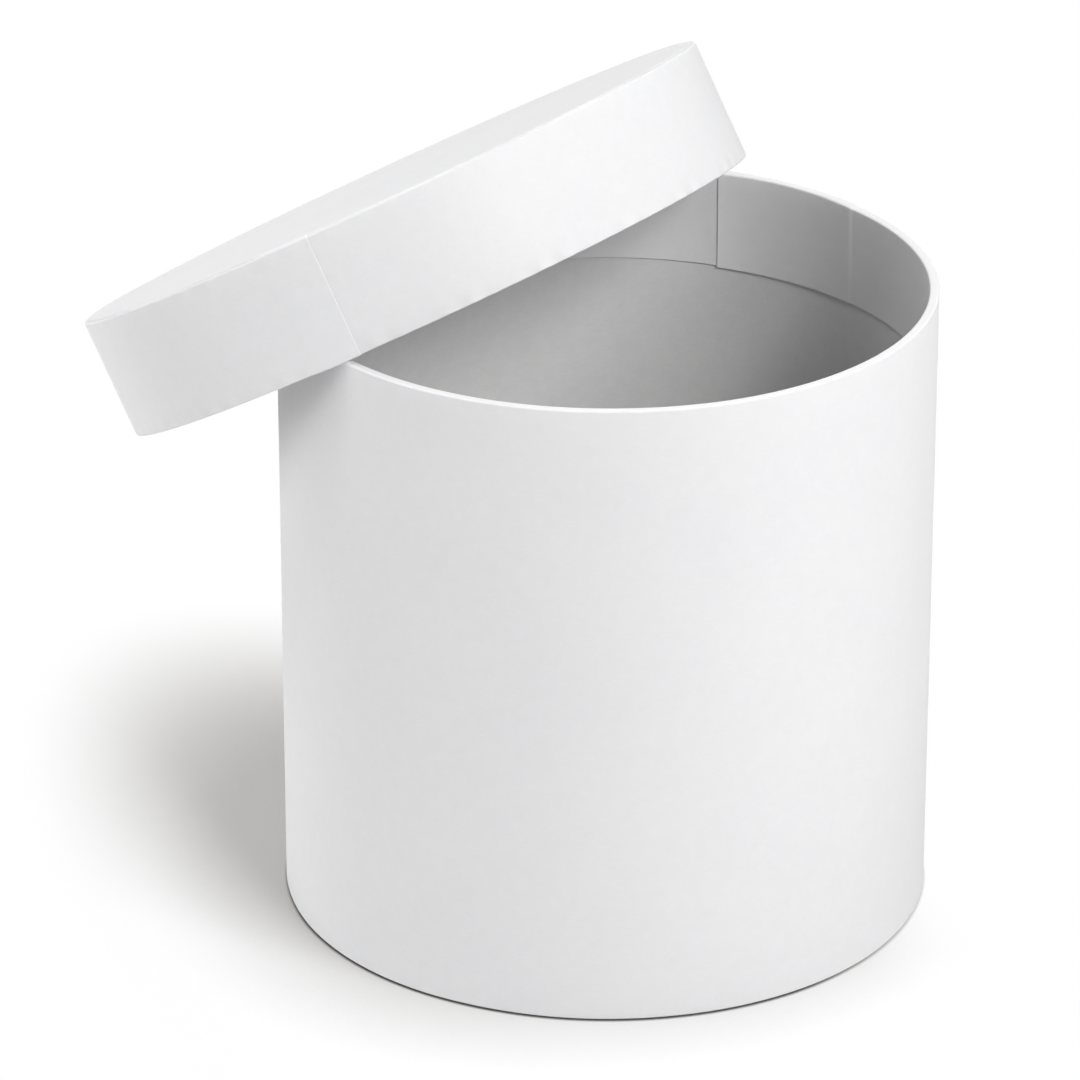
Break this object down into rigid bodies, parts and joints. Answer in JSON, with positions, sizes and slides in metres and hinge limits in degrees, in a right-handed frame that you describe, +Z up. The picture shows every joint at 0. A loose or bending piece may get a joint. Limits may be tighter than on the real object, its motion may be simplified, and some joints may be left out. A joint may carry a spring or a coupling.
{
  "type": "round flower box",
  "caption": "Round paper-wrapped board box for flowers or gifts, shown open, with a turned-in band inside the rim and a matching skirted lid that leans on the rim and lifts off.",
  "frame": {"origin": "centre of the underside of the box, on the surface that it stands on", "axes": "+Z up along the box's axis; -Y towards the picture's camera, +X to its right, so the lid leans down to the left and back"},
  "size_m": [0.2603, 0.2425, 0.2654],
  "materials": {
    "wrap_paper": "satin white coated paper with a very fine mottle",
    "lining_paper": "matt uncoated white paper",
    "grey_board": "matt recycled board, covered by paper on every side"
  },
  "bodies": {
    "box": {"body_board_tube": "grey_board", "base_board_disc": "grey_board", "body_wrap_paper": "wrap_paper", "body_lining_paper": "lining_paper", "floor_lining_paper": "lining_paper", "base_cover_paper": "wrap_paper"},
    "lid": {"lid_top_board": "grey_board", "lid_skirt_board": "grey_board", "lid_top_paper": "wrap_paper", "lid_skirt_wrap_paper": "wrap_paper", "lid_top_lining_paper": "lining_paper", "lid_skirt_lining_paper": "lining_paper"}
  },
  "joints": [
    {"name": "lid_lift", "type": "slide", "parent": "box", "child": "lid", "axis": [0, 0, 1], "range_m": [0, 0.12]}
  ]
}
